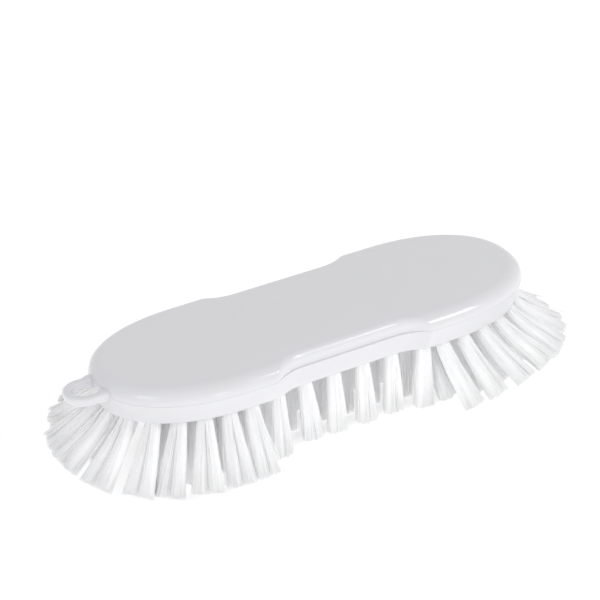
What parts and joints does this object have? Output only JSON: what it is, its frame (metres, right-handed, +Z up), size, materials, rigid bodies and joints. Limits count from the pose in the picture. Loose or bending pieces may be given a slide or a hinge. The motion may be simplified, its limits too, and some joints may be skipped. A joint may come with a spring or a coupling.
{
  "type": "bee brush",
  "caption": "Waisted hand scrubbing brush for beekeeping equipment: a one-piece moulded plastic block with a hanging eye and splayed stiff filament tufts held by wire staples.",
  "frame": {"origin": "under the middle of the block, on the plane that the upright tufts are trimmed to and the brush stands on", "axes": "+X along the brush, from the hanging eye towards the plain end; +Y across it; +Z up, from the tips towards the top of the block"},
  "size_m": [0.2282, 0.097, 0.0446],
  "materials": {
    "block": "gloss moulded polypropylene, white",
    "filament": "extruded translucent white PBT filament",
    "staple": "bright flat wire"
  },
  "bodies": {
    "root": {"block": "block", "staples": "staple", "centre_waist_tufts": "filament", "left_outer_tuft_01": "filament", "left_outer_tuft_02": "filament", "left_outer_tuft_03": "filament", "left_outer_tuft_04": "filament", "left_outer_tuft_05": "filament", "left_outer_tuft_06": "filament", "left_outer_tuft_07": "filament", "left_outer_tuft_08": "filament", "left_outer_tuft_09": "filament", "left_outer_tuft_10": "filament", "left_outer_tuft_11": "filament", "left_outer_tuft_12": "filament", "left_outer_tuft_13": "filament", "right_outer_tuft_01": "filament", "right_outer_tuft_02": "filament", "right_outer_tuft_03": "filament", "right_outer_tuft_04": "filament", "right_outer_tuft_05": "filament", "right_outer_tuft_06": "filament", "right_outer_tuft_07": "filament", "right_outer_tuft_08": "filament", "right_outer_tuft_09": "filament", "right_outer_tuft_10": "filament", "right_outer_tuft_11": "filament", "right_outer_tuft_12": "filament", "right_outer_tuft_13": "filament", "near_waist_tuft_1": "filament", "near_waist_tuft_2": "filament", "near_waist_tuft_3": "filament", "near_waist_tuft_4": "filament", "near_waist_tuft_5": "filament", "near_waist_tuft_6": "filament", "far_waist_tuft_1": "filament", "far_waist_tuft_2": "filament", "far_waist_tuft_3": "filament", "far_waist_tuft_4": "filament", "far_waist_tuft_5": "filament", "far_waist_tuft_6": "filament", "left_inner_tufts": "filament", "right_inner_tufts": "filament", "left_core_tufts": "filament", "right_core_tufts": "filament", "near_inner_waist_tufts": "filament", "far_inner_waist_tufts": "filament"}
  },
  "joints": []
}
